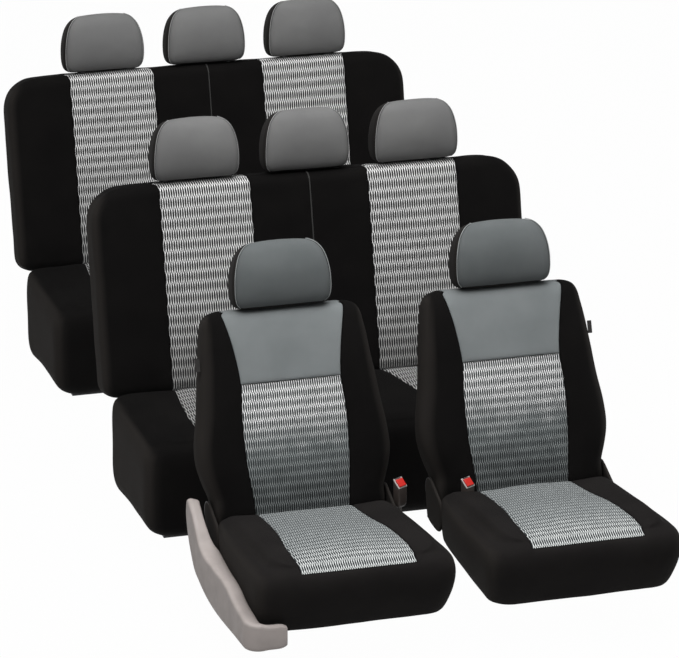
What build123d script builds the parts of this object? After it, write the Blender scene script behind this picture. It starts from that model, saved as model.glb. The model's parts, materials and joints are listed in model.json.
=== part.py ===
from build123d import *
import math
import os

# A seven-seat set of cloth seat covers, fitted on the seats that they dress: two front
# bucket seats and two bench rows. Millimetres. +X is the right of the vehicle, +Y its
# rear and +Z up, so the seats face -Y. The origin is on the floor, at the middle of the
# whole set's footprint.

# ---- the set ----
FRONT_SEAT_X = 304.0  # each front seat's middle, either side of the centre line
ROW_Y = {"front": -861.6, "second": 37.6, "third": 1187.6}  # each row's hip line

# ---- cloth and clearances ----
CLOTH = 3.0  # cover cloth with its foam backing
SEWN_GAP = 0.4  # foam to cover, so that the cover comes off
SEAM = 0.1  # half the gap between two panels at their seam
BORE_GAP = 0.3  # foam and cloth round a sleeve or a post
HINGE_PIN_R = 14.0
HINGE_FIT = 0.05

# ---- front seat ----
HEM_Z = 125.0  # lower edge of the front cushion cover, above the floor
CUSHION_FRONT_Y = -556.0
CUSHION_REAR_Y = -20.0
CUSHION_FRONT_W = 530.0
CUSHION_REAR_W = 484.0
CUSHION_TOP_FRONT = HEM_Z + 183.0
CUSHION_TOP_REAR = HEM_Z + 124.0
HINGE_Y = 44.0
HINGE_Z = HEM_Z + 111.0
BACK_RECLINE = 19.5  # degrees from upright
BACK_LENGTH = 520.0  # hinge axis to the top of the back
BACK_THICK = 120.0
YOKE_LOW = 330.0  # hinge axis to the seam below the plain upper panel
PAN_Z = HEM_Z + 32.0
RAIL_X = 158.0
BRACKET_X = 238.5
BRACKET_THICK = 6.0

# ---- bench ----
BENCH_W = 1262.0
BENCH_HEM_Z = 8.0
BENCH_BITE_Y = -30.0
BENCH_BITE_Z = 262.0
BENCH_DEPTH = 463.0
BENCH_RECLINE = 13.5
BENCH_BACK_H = 592.0  # bite to top, along the back
BENCH_BACK_THICK = 130.0
BENCH_HINGE_UP = 118.5  # hinge axis above the bite, along the back
BENCH_INSERT = (172.0, 436.0)  # inner and outer edge of each mesh panel
BENCH_HEADREST_X = 322.0
BENCH_TRAY_TOP = 60.0

# ---- headrest ----
HEADREST_W = {"front": 272.0, "bench": 254.0}
HEADREST_H = 170.0
HEADREST_DEPTH = 100.0
HEADREST_AHEAD = 34.0  # middle of the pad, ahead of its posts
POST_R = 6.0
POST_X = 70.0
POST_DROP = 165.0  # post length below the headrest
SLEEVE_R = 10.5

os.makedirs("parts", exist_ok=True)


def write(name, shape):
    """One STEP file per piece, named after it."""
    export_step(shape, f"parts/{name}.step")


def block(x, y, z):
    """A box between three pairs of limits."""
    size = [b - a for a, b in (x, y, z)]
    middle = [(a + b) / 2 for a, b in (x, y, z)]
    return Pos(*middle) * Box(*size)


def rod(start, end, radius):
    """A round bar from one point to another."""
    axis = Vector(*end) - Vector(*start)
    return extrude(Plane(origin=start, z_dir=axis) * Circle(radius), axis.length)


def together(pieces):
    """Separate solids of one piece."""
    return Compound(children=[s for p in pieces for s in p.solids()])


def turned_corners(corners, radii, steps=3):
    """Points of a polygon whose corners are turned in a few straight steps on an arc."""
    points = []
    count = len(corners)
    for k, radius in enumerate(radii):
        here = Vector(*corners[k])
        back = (Vector(*corners[k - 1]) - here).normalized()
        ahead = (Vector(*corners[(k + 1) % count]) - here).normalized()
        half = back.get_angle(ahead) / 2
        reach = radius / math.tan(math.radians(half))
        centre = here + (back + ahead).normalized() * (radius / math.sin(math.radians(half)))
        first, last = here + back * reach - centre, here + ahead * reach - centre
        for step in range(steps + 1):
            share = step / steps
            spoke = (first * (1 - share) + last * share).normalized() * radius
            points.append(centre + spoke)
    return points


def rounded(corners, radii, steps=3):
    """A flat face with turned corners."""
    return make_face(Polyline(*turned_corners(corners, radii, steps), close=True))


def box_ring(half_x, half_y, radius, steps=3):
    """Points of a rectangle with turned corners, from its near left corner round."""
    x, y = half_x, half_y
    return turned_corners([(-x, -y), (x, -y), (x, y), (-x, y)], [radius] * 4, steps)


def walls(rings):
    """Flat faces between each ring of points and the next, in triangles where they twist."""
    faces = []
    for low, high in zip(rings, rings[1:]):
        for k in range(len(low)):
            a, b, c, d = low[k - 1], low[k], high[k], high[k - 1]
            corners = [p for n, p in enumerate((a, b, c, d)) if (p - (a, b, c, d)[n - 1]).length > 1e-6]
            if len(corners) < 3:
                continue
            twist = (b - a).cross(d - a).dot(c - a) if len(corners) == 4 else 0
            if abs(twist) < 1e-4:
                faces.append(Face(Wire.make_polygon(corners, close=True)))
            else:
                faces.append(Face(Wire.make_polygon([a, b, c], close=True)))
                faces.append(Face(Wire.make_polygon([a, c, d], close=True)))
    return faces


def cap(ring):
    return Face(Wire.make_polygon(ring, close=True))


def flat_sided(rings):
    """A closed solid: walls between rings of points, with a flat cap on each end."""
    return Solid(Shell(walls(rings) + [cap(rings[0]), cap(rings[-1])]))


def stack(stations, grow=0.0):
    """A flat-sided solid up through rounded rectangles.

    Each station is (height, width, depth, corner radius, middle of the depth), and grow
    moves the side walls out, or in when it is negative.
    """
    rings = []
    for height, width, depth, radius, middle in stations:
        outline = box_ring(width / 2 + grow, depth / 2 + grow, max(radius + grow, 2.0))
        rings.append([Vector(p.X, p.Y + middle, height) for p in outline])
    return flat_sided(rings)


def inset(stations, wall):
    """The same stack of stations with its two ends moved in by a wall."""
    first, last = stations[0], stations[-1]
    return [(first[0] + wall, *first[1:]), *stations[1:-1], (last[0] - wall, *last[1:])]


# ---------------------------------------------------------------- headrest
def headrest_stations(bottom, width):
    """Heights along the back, with the widths and depths of the pad."""
    share = [(0.0, 0.88, 0.70), (0.18, 0.98, 0.96), (0.60, 1.0, 1.0), (0.88, 0.90, 0.78),
             (1.0, 0.74, 0.50)]
    return [
        (bottom + k * HEADREST_H, w * width, d * HEADREST_DEPTH, 0.3 * d * HEADREST_DEPTH,
         -HEADREST_AHEAD)
        for k, w, d in share
    ]


def headrest_hoop(bottom):
    """Steel hoop: two posts and the bar that joins them inside the foam."""
    bar = bottom + 0.6 * HEADREST_H
    posts = [rod((x, 0, bottom - POST_DROP), (x, 0, bar), POST_R) for x in (-POST_X, POST_X)]
    return posts[0] + posts[1] + rod((-POST_X - POST_R, 0, bar), (POST_X + POST_R, 0, bar), POST_R)


def headrest(bottom, width):
    """A cover and the core it goes over: foam moulded round a steel hoop."""
    stations = headrest_stations(bottom, width)
    core_wall = CLOTH + SEWN_GAP
    half = POST_R + BORE_GAP
    bar = bottom + 0.6 * HEADREST_H
    channel = block((-POST_X - half, POST_X + half), (-half, half), (bar - half, bar + half))
    for x in (-POST_X, POST_X):
        channel += block((x - half, x + half), (-half, half), (bottom - 9, bar))
    foam = stack(inset(stations, core_wall), -core_wall) - channel
    cover = stack(stations) - stack(inset(stations, CLOTH), -CLOTH) - channel
    return {"headrest_cover": cover, "headrest_core": together([foam, headrest_hoop(bottom)])}


def sleeves(top, xs):
    """Plastic guide sleeves for the posts, square, with a round collar on the cover."""
    out = []
    for x in xs:
        for side in (-POST_X, POST_X):
            tube = sleeve_hole(x + side, top - 120, top, 0.0)
            collar = rod((x + side, 0, top), (x + side, 0, top + 4), SLEEVE_R + 5)
            bore = rod((x + side, 0, top - 121), (x + side, 0, top + 5), POST_R + HINGE_FIT)
            out.append(tube + collar - bore)
    return out


def sleeve_hole(x, low, high, gap):
    """The square that a sleeve takes up, grown by a gap."""
    half = SLEEVE_R + gap
    return block((x - half, x + half), (-half, half), (low, high))


# ---------------------------------------------------------------- front seat back
def back_stations():
    """Widths and depths of the seat back above its hinge axis, hinge axis at depth 0."""
    thick = BACK_THICK
    return [
        (0.0, 466.0, thick, 32.0, 0.0),
        (42.0, 466.0, thick, 36.0, 0.0),
        (117.0, 519.0, thick, 38.0, 0.0),
        (280.0, 493.0, thick, 38.0, 0.0),
        (467.0, 444.0, thick - 12, 34.0, 5.0),
        (507.0, 414.0, thick - 30, 28.0, 6.0),
        (BACK_LENGTH, 372.0, thick - 56, 20.0, 6.0),
    ]


def back_solid(wall):
    """The back as one solid, its walls moved in by wall: a stack over a half-round foot."""
    stations = back_stations()
    stations[-1] = (stations[-1][0] - wall, *stations[-1][1:])
    rings = []
    for height, width, depth, radius, middle in stations:
        outline = box_ring(width / 2 - wall, depth / 2 - wall, radius - wall)
        # a point half-way along each side, where the foot starts to turn
        near, far = outline[:8], outline[8:]
        outline = [Vector(near[0].X, 0), *near, Vector(near[-1].X, 0), *far]
        rings.append([Vector(p.X, p.Y + middle, height) for p in outline])
    chain = rings[0][:10]
    turns = 8
    foot = [[p.rotate(Axis.X, 180 * k / turns) for p in chain] for k in range(turns + 1)]
    for k, point in enumerate(foot[-1]):
        foot[-1][k] = min(rings[0], key=lambda q: (q - point).length)
    faces = walls(rings) + walls(foot) + [cap(rings[-1])]
    return Solid(Shell([face for face in faces if face.area > 1e-3]))


def panel_pair(skin, outline, upright):
    """Cuts one panel out of a skin: what is left of the skin, and the panel.

    The outline is in (x, height) for an upright skin and in (x, y) for a flat one.
    """
    face = make_face(Polyline(*outline, close=True))
    cut = offset(face, SEAM, kind=Kind.INTERSECTION)
    keep = offset(face, -SEAM, kind=Kind.INTERSECTION)
    if upright:
        turned = [Rot(90, 0, 0) * f for f in (cut, keep)]
        cut, keep = (extrude(f, 200, dir=(0, -1, 0)) for f in turned)
    else:
        cut, keep = (extrude(Pos(0, 0, BENCH_TRAY_TOP + 100) * f, 300, dir=(0, 0, 1))
                     for f in (cut, keep))
    return skin - cut, skin & keep


def seat_back():
    """Cover, its two front panels, foam and frame of a front seat back, hinge at the origin."""
    hinge = rod((-BRACKET_X - BRACKET_THICK, 0, 0), (BRACKET_X + BRACKET_THICK, 0, 0), HINGE_PIN_R)
    side_members = [block((x - 12, x + 12), (-22, 14), (0, 460)) for x in (-170, 170)]
    head = block((-182, 182), (-16, 16), (428, 460))
    lumbar = block((-182, 182), (4, 12), (150, 260))
    frame = hinge + side_members[0] + side_members[1] + head + lumbar
    for x in (-POST_X, POST_X):
        frame -= sleeve_hole(x, 420, 470, BORE_GAP)
    guides = sleeves(BACK_LENGTH, [0])
    foam = back_solid(CLOTH + SEWN_GAP) - frame
    skin = back_solid(0) - back_solid(CLOTH)
    skin -= rod((-260, 0, 0), (260, 0, 0), HINGE_PIN_R + 1.5)
    for x in (-POST_X, POST_X):
        foam -= sleeve_hole(x, BACK_LENGTH - 185, BACK_LENGTH + 1, BORE_GAP)
        skin -= sleeve_hole(x, BACK_LENGTH - 20, BACK_LENGTH + 1, BORE_GAP)
    top = BACK_LENGTH + 40
    skin, yoke = panel_pair(skin, [(-136, YOKE_LOW), (136, YOKE_LOW), (168, top), (-168, top)], True)
    skin, insert = panel_pair(
        skin, [(-129, -90), (129, -90), (141, 120), (136, YOKE_LOW), (-136, YOKE_LOW), (-141, 120)],
        True)
    return {
        "back_cover": skin,
        "back_yoke": yoke,
        "back_insert": insert,
        "back_foam": foam,
        "back_frame": together([frame, *guides]),
    }


# ---------------------------------------------------------------- front seat cushion
def cushion_solid(wall, open_below=0.0):
    """The cushion as one solid, its top sloping to the rear and its front tucked under."""
    # share of the height, how far the sides and the front come in, corner radius
    rise = [(0.0, 20.0, 48.0, 54.0), (0.35, 6.0, 20.0, 58.0), (0.70, 0.0, 0.0, 60.0),
            (0.90, 12.0, 12.0, 58.0), (1.0, 44.0, 44.0, 56.0)]
    rings = []
    for k, sides, ahead, radius in rise:
        drop = wall * (k > 0.8) + open_below * (k == 0)
        front = HEM_Z + k * (CUSHION_TOP_FRONT - HEM_Z) - drop
        rear = HEM_Z + k * (CUSHION_TOP_REAR - HEM_Z) - drop
        front_half = CUSHION_FRONT_W / 2 - sides - wall
        rear_half = CUSHION_REAR_W / 2 - sides * 0.4 - wall
        low, high = CUSHION_FRONT_Y + ahead + wall, CUSHION_REAR_Y - wall - 10 * (k == 1)
        corners = [(-front_half, low), (front_half, low), (rear_half, high), (-rear_half, high)]
        outline = turned_corners(corners, [radius - wall, radius - wall, 24, 24])
        slope = (rear - front) / (CUSHION_REAR_Y - CUSHION_FRONT_Y)
        rings.append([Vector(p.X, p.Y, front + (p.Y - CUSHION_FRONT_Y) * slope) for p in outline])
    return flat_sided(rings)


def seat_cushion(buckle_notch):
    """Cover, mesh panel, foam and frame of a front cushion."""
    skin = cushion_solid(0) - cushion_solid(CLOTH, open_below=1)
    # the rear wall stops above the pan, so that the frame comes out under it
    skin -= block((-216, 216), (CUSHION_REAR_Y - 12, CUSHION_REAR_Y + 8), (0, PAN_Z + 2))
    foam = cushion_solid(CLOTH + SEWN_GAP) & block((-300, 300), (-600, 0), (PAN_Z, 400))
    if buckle_notch is not None:
        x, half = buckle_notch
        notch = block((x - half, x + half), (CUSHION_REAR_Y - 62, 60), (PAN_Z, 500))
        skin -= notch
        foam -= notch
    outline = [(-128, -28), (128, -28), (136, -230), (162, -440), (152, -522),
               (-152, -522), (-162, -440), (-136, -230)]
    skin, insert = panel_pair(skin, outline, False)
    return {
        "cushion_cover": skin,
        "cushion_insert": insert,
        "cushion_foam": foam,
    }


def seat_frame(buckle_at):
    """Pressed pan, the two upper rails under it and the recliner brackets."""
    outer_x = BRACKET_X + BRACKET_THICK
    pan = block((-210, 210), (-440, -12), (PAN_Z - 3, PAN_Z))
    tail = block((-outer_x, outer_x), (-16, 58), (PAN_Z - 3, PAN_Z))
    frame = pan + tail
    for y in (-360, -260, -160):
        frame += block((-120, 120), (y, y + 30), (PAN_Z - 7, PAN_Z - 3))
    for side in (-1, 1):
        x = side * RAIL_X
        rail = block((x - 22, x + 22), (-430, 70), (PAN_Z - 22, PAN_Z - 3))
        rail -= block((x - 19, x + 19), (-431, 71), (PAN_Z - 19, PAN_Z - 6))
        rail -= block((x - 14, x + 14), (-431, 71), (PAN_Z - 23, PAN_Z - 5.9))
        frame += rail
        inner, outer = sorted((side * BRACKET_X, side * (BRACKET_X + BRACKET_THICK)))
        plate = block((inner, outer), (HINGE_Y - 46, HINGE_Y + 14), (PAN_Z - 3, HINGE_Z))
        start, end = (inner, HINGE_Y, HINGE_Z), (outer, HINGE_Y, HINGE_Z)
        plate += rod(start, end, 34)
        frame += plate
    frame -= rod((-300, HINGE_Y, HINGE_Z), (300, HINGE_Y, HINGE_Z), HINGE_PIN_R + HINGE_FIT)
    bx, by, bz = buckle_at
    beside = bx > BRACKET_X
    tab = block((BRACKET_X if beside else bx - 14, bx + 14), (by - 12, by + 12), (PAN_Z - 3, PAN_Z))
    frame += tab
    ear = block((bx - 1.5, bx + 1.5), (by - 11, by + 11), (PAN_Z, bz + 11))
    frame += ear
    frame -= rod((bx - 30, by, bz), (bx + 30, by, bz), 4 + HINGE_FIT)
    return frame


def stand():
    """Raked pedestal: base plate, two side plates, a top plate and the lower rails."""
    top = PAN_Z - 27
    base = block((-132, 132), (-150, 160), (0, 6))
    deck = block((-186, 186), (-385, 60), (top - 5, top))
    pieces = base + deck
    for side in (-1, 1):
        x = side * 118
        outline = Polyline((0, -148, 3), (0, 156, 3), (0, 56, top - 3), (0, -372, top - 3), close=True)
        web = extrude(make_face(outline), 5, dir=(1, 0, 0))
        hole = Polyline((0, -105, 30), (0, 100, 30), (0, 40, top - 26), (0, -262, top - 26), close=True)
        web -= extrude(make_face(hole), 6, dir=(1, 0, 0))
        pieces += Pos(x - 2.5, 0, 0) * web
        rail_x = side * RAIL_X
        pieces += block((rail_x - 11, rail_x + 11), (-380, 55), (top, top + 9))
        pieces += block((rail_x - 16, rail_x + 16), (-380, 55), (top + 9, top + 14))
    for x in (-90, 90):
        for y in (-110, 120):
            pieces -= rod((x, y, -1), (x, y, 7), 5.5)
    return pieces


# ---------------------------------------------------------------- belt buckle
BUCKLE_STALK = 48.0
BUCKLE_L = 68.0
BUCKLE_W = 36.0
BUCKLE_D = 24.0
BUTTON_TRAVEL = 4.0


def buckle(stalk):
    """Housing with its tongue slot and button well, on a stalk, pivot at the origin."""
    body = Pos(0, 0, stalk + BUCKLE_L / 2) * Box(BUCKLE_W, BUCKLE_D, BUCKLE_L)
    body = fillet(body.edges().filter_by(Axis.Z), 5)
    body -= block((-BUCKLE_W / 2 + 3, BUCKLE_W / 2 - 3), (-BUCKLE_D / 2 + 3, 1.5),
                  (stalk + BUCKLE_L - 22, stalk + BUCKLE_L + 1))
    body -= block((-BUCKLE_W / 2 + 4, BUCKLE_W / 2 - 4), (4.0, 9.5),
                  (stalk + BUCKLE_L - 34, stalk + BUCKLE_L + 1))
    cheek = [block((x, x + 2), (-10, 10), (-10, stalk + 1)) for x in (2.0, -4.0)]
    return body + cheek[0] + cheek[1] + rod((-6, 0, 0), (6, 0, 0), 4.0)


def buckle_button(stalk):
    """Press button, proud of the housing by its travel and a little more."""
    top = stalk + BUCKLE_L
    body = block((-BUCKLE_W / 2 + 3.4, BUCKLE_W / 2 - 3.4), (-BUCKLE_D / 2 + 3.4, 1.1),
                 (top - 16, top + 1.5))
    return fillet(body.edges().filter_by(Axis.Z), 2)


# ---------------------------------------------------------------- side shield
def side_shield():
    """Moulded trim on the outboard side of the left front seat, open towards the seat.

    A band along the cushion, with an arm up over the recliner at the rear and a short
    return round the front corner.
    """
    outer_x = -CUSHION_FRONT_W / 2 - 30
    depth, wall = 26, 3
    corners = [(-540, 100), (-30, 94), (52, 176), (62, 240), (46, 274), (8, 280), (-62, 192),
               (-378, 184), (-546, 188)]
    radii = [30, 60, 60, 30, 24, 22, 40, 30, 14]
    outline = Plane.YZ * rounded(corners, radii)
    solid = extrude(Pos(outer_x, 0, 0) * outline, depth, dir=(1, 0, 0))
    inner = Plane.YZ * rounded(inset_corners(corners, wall), [max(r - wall, 2) for r in radii])
    solid -= extrude(Pos(outer_x + wall, 0, 0) * inner, depth, dir=(1, 0, 0))
    # round the front corner: a wall that follows the cushion's corner in plan, as two flats
    path = [(outer_x + 1, -512), (outer_x + 7, -534), (outer_x + 24, -548), (outer_x + 104, -552)]
    inward = [(outer_x + 104, -549), (outer_x + 26, -545), (outer_x + 10, -532), (outer_x + 4, -511)]
    wrap = make_face(Polyline(*[(x, y, 104) for x, y in path + inward], close=True))
    solid += extrude(wrap, 68, dir=(0, 0, 1))
    for y in (-400, -290, -180, -70):
        solid += block((outer_x + 1, outer_x + 14), (y, y + 2), (98, 182))
    return solid


def inset_corners(corners, wall):
    """A polygon's corners moved in by a wall, for corners listed anticlockwise."""
    count = len(corners)
    moved = []
    for k in range(count):
        here = Vector(*corners[k])
        back = (here - Vector(*corners[k - 1])).normalized()
        ahead = (Vector(*corners[(k + 1) % count]) - here).normalized()
        inward = Vector(-back.Y, back.X), Vector(-ahead.Y, ahead.X)
        bend = inward[0] + inward[1]
        moved.append(tuple(here + bend * (2 * wall / bend.dot(bend)))[:2])
    return moved


# ---------------------------------------------------------------- bench
def bench_cushion_solid(wall, open_below=0.0):
    """The bench cushion as one solid: a block with rounded corners and a soft top edge."""
    top = BENCH_BITE_Z + 18
    width, depth = BENCH_W - 16, BENCH_DEPTH - 4
    profile = [(BENCH_HEM_Z - open_below, 12.0), (60.0, 0.0), (top - 46, 0.0), (top - 14, 12.0),
               (top, 40.0)]
    stations = [
        (height - wall * (height > top - 20), width - 2 * pull, depth - 2 * pull, 60.0 - pull / 2,
         -4 - depth / 2)
        for height, pull in profile
    ]
    return stack(stations, -wall)


def bench_cushion():
    """Cover, two mesh panels, foam and tray of a bench cushion, bite at the origin in y."""
    skin = bench_cushion_solid(0) - bench_cushion_solid(CLOTH, open_below=1)
    above_tray = block((-800, 800), (-600, 0), (BENCH_TRAY_TOP, 400))
    foam = bench_cushion_solid(CLOTH + SEWN_GAP) & above_tray
    inserts = []
    for side in (-1, 1):
        a, b = (side * x for x in BENCH_INSERT)
        shift = side * 40
        outline = [(a, -30), (b, -30), (b + shift / 2, -250), (b, -430), (a + shift, -430),
                   (a + shift * 1.4, -250)]
        skin, insert = panel_pair(skin, outline, False)
        inserts.append(insert)
    tray = block((-566, 566), (-400, -60), (0, BENCH_TRAY_TOP))
    tray -= block((-562, 562), (-396, -64), (-1, BENCH_TRAY_TOP - 4))
    for x in (-340, -113, 113, 340):
        tray += block((x - 2, x + 2), (-398, -62), (12, BENCH_TRAY_TOP - 2))
    tray += block((-564, 564), (-232, -228), (12, BENCH_TRAY_TOP - 2))
    brackets = []
    hinge_y, hinge_z = bench_hinge()
    for side in (-1, 1):
        inner_x, outer_x = sorted((side * 536, side * 542))
        plate = block((inner_x, outer_x), (-59.9, hinge_y + 24), (0, 44))
        plate += block((inner_x, outer_x), (hinge_y - 24, hinge_y + 24), (0, hinge_z))
        plate += rod((inner_x, hinge_y, hinge_z), (outer_x, hinge_y, hinge_z), 24)
        foot = block(sorted((side * 496, side * 542)), (-59.9, hinge_y + 24), (0, 5))
        pin_hole = rod((-700, hinge_y, hinge_z), (700, hinge_y, hinge_z), HINGE_PIN_R + HINGE_FIT)
        brackets.append(plate + foot - pin_hole)
        skin -= block(sorted((side * 492, side * 546)), (-20, 10), (0, 48))
    return {
        "cushion_cover": skin,
        "cushion_inserts": together(inserts),
        "cushion_foam": foam,
        "base": tray,
        "hinge_brackets": together(brackets),
    }


def bench_hinge():
    """Where the bench back's hinge axis is, from the bite's y and the floor."""
    lean = math.radians(BENCH_RECLINE)
    half = BENCH_BACK_THICK / 2
    y = BENCH_HINGE_UP * math.sin(lean) + half * math.cos(lean)
    z = BENCH_BITE_Z + BENCH_HINGE_UP * math.cos(lean) - half * math.sin(lean)
    return y, z


def bench_back_solid(wall):
    """The bench back, hinge axis at the origin, walls moved in by wall."""
    half_t = BENCH_BACK_THICK / 2 - wall
    middle = BENCH_BACK_H / 2 - BENCH_HINGE_UP
    # share of the thickness from front to rear, and how far the outline comes in
    profile = [(-1.0, 28.0), (-0.86, 9.0), (-0.6, 0.0), (0.7, 0.0), (0.9, 6.0), (1.0, 20.0)]
    rings = []
    for share, pull in profile:
        x, z = BENCH_W / 2 - wall - pull, BENCH_BACK_H / 2 - wall - pull
        low, high = 42 - wall - pull / 2, 100 - wall - pull / 2
        outline = turned_corners([(-x, -z), (x, -z), (x, z), (-x, z)], [low, low, high, high], 4)
        rings.append([Vector(p.X, share * half_t, p.Y + middle) for p in outline])
    return flat_sided(rings)


def bench_back():
    """Cover, two mesh panels, foam and frame of a bench back, hinge axis at the origin."""
    top = BENCH_BACK_H - BENCH_HINGE_UP
    frame = rod((-542, 0, 0), (542, 0, 0), HINGE_PIN_R)
    for x in (-500, -174, 174, 500):
        frame += block((x - 12, x + 12), (-14, 14), (0, top - 40))
    frame += block((-512, 512), (-14, 14), (top - 70, top - 40))
    headrests = (-BENCH_HEADREST_X, 0, BENCH_HEADREST_X)
    for x in headrests:
        for side in (-POST_X, POST_X):
            frame -= sleeve_hole(x + side, top - 80, top - 30, BORE_GAP)
    guides = sleeves(top, headrests)
    foam = bench_back_solid(CLOTH + SEWN_GAP) - frame
    skin = bench_back_solid(0) - bench_back_solid(CLOTH)
    for x in headrests:
        for side in (-POST_X, POST_X):
            foam -= sleeve_hole(x + side, top - 185, top + 1, BORE_GAP)
            skin -= sleeve_hole(x + side, top - 20, top + 1, BORE_GAP)
    for side in (-1, 1):
        inner_x, outer_x = sorted((side * 533, side * 545))
        # the bracket's arm swings from the foot to the front face as the back folds
        slot = block((inner_x, outer_x), (-80, 60), (-BENCH_HINGE_UP - 10, 0))
        slot += rod((inner_x, 0, 0), (outer_x, 0, 0), 30)
        slot += block((inner_x, outer_x), (-80, 0), (-10, 28))
        foam -= slot
        skin -= slot
    inserts = []
    for side in (-1, 1):
        a, b = (side * x for x in BENCH_INSERT)
        skin, insert = panel_pair(skin, [(a, -200), (b, -200), (b, top + 20), (a, top + 20)], True)
        inserts.append(insert)
    return {
        "back_cover": skin,
        "back_inserts": together(inserts),
        "back_foam": foam,
        "back_frame": together([frame, *guides]),
    }


# ---------------------------------------------------------------- placing
def place_front_seat(side, x, pieces, buckle_at, buckle_notch):
    """Writes every piece of one front seat."""
    at = Pos(x, ROW_Y["front"], 0)
    reclined = at * Pos(0, HINGE_Y, HINGE_Z) * Rot(-BACK_RECLINE, 0, 0)
    name = f"front_{side}_"
    for node, shape in pieces.items():
        write(name + node, reclined * shape)
    for node, shape in seat_cushion(buckle_notch).items():
        write(name + node, at * shape)
    write(name + "seat_frame", at * seat_frame(buckle_at))
    write(name + "stand", at * stand())
    pivot = at * Pos(*buckle_at)
    write(name + "buckle", pivot * buckle(BUCKLE_STALK))
    write(name + "buckle_button", pivot * buckle_button(BUCKLE_STALK))


def place_bench(row, cushion, back, rest):
    """Writes every piece of one bench row."""
    at = Pos(0, ROW_Y[row] + BENCH_BITE_Y, 0)
    hinge_y, hinge_z = bench_hinge()
    reclined = at * Pos(0, hinge_y, hinge_z) * Rot(-BENCH_RECLINE, 0, 0)
    name = f"{row}_row_"
    for node, shape in cushion.items():
        write(name + node, at * shape)
    for node, shape in back.items():
        write(name + node, reclined * shape)
    places = (("left", -BENCH_HEADREST_X), ("middle", 0), ("right", BENCH_HEADREST_X))
    for side, x in places:
        for node, shape in rest.items():
            write(f"{name}{side}_{node}", reclined * Pos(x, 0, 0) * shape)


front_back = {**seat_back(), **headrest(BACK_LENGTH + 7, HEADREST_W["front"])}
# the left buckle stands beside the cushion, and the right one in a slit in its rear edge
place_front_seat("left", -FRONT_SEAT_X, front_back, (270.0, 2.0, PAN_Z + 22), None)
place_front_seat("right", FRONT_SEAT_X, front_back, (-165.0, -44.0, PAN_Z + 22), (-165.0, 24.0))
write("front_left_side_shield", Pos(-FRONT_SEAT_X, ROW_Y["front"], 0) * side_shield())

bench_parts = bench_cushion(), bench_back(), headrest(
    BENCH_BACK_H - BENCH_HINGE_UP + 7, HEADREST_W["bench"])
for row in ("second", "third"):
    place_bench(row, *bench_parts)
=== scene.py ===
"""Looks of the seat cover set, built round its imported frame. Metres, +Z up, seats face -Y."""
import json
import math

import bmesh
import bpy
import numpy as np
from mathutils import Matrix, Vector, noise


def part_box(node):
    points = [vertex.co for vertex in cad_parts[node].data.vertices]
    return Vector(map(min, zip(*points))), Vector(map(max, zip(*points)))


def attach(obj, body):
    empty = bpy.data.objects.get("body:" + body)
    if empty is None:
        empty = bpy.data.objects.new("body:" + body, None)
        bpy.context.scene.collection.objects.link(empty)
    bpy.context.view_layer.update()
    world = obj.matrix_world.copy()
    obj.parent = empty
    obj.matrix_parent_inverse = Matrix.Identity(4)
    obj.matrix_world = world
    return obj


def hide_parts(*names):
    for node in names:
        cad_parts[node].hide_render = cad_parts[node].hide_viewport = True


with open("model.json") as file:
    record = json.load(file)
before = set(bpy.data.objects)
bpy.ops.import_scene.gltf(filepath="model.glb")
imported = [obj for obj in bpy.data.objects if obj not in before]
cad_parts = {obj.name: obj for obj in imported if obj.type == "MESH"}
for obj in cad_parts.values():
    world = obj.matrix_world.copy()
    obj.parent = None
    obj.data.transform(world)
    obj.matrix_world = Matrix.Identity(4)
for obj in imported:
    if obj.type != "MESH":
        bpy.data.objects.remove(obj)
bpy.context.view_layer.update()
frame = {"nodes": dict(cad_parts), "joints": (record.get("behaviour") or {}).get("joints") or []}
joints = {joint["name"]: joint for joint in frame["joints"]}

LIP = 0.005  # the narrow row of faces beside a seam
SEAM_DEPTH = 0.0028
CLOTH = 0.0022  # thickness of a cover
THREAD_HEIGHT = 0.0003
BEND_SCALE, FINE_BEND_SCALE = 9.0, 21.0  # of the rumples in a cover, per metre
PAINTED_SIDE_LIGHT = "painted_side_light"  # share of painted side light at a point of a cover, from how far it faces sideways, 0 to 1
SIDE_LIGHT_FROM, SIDE_LIGHT_OVER = 0.45, 0.45  # sideways part of a normal where the painted side light starts, and its rise
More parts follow.
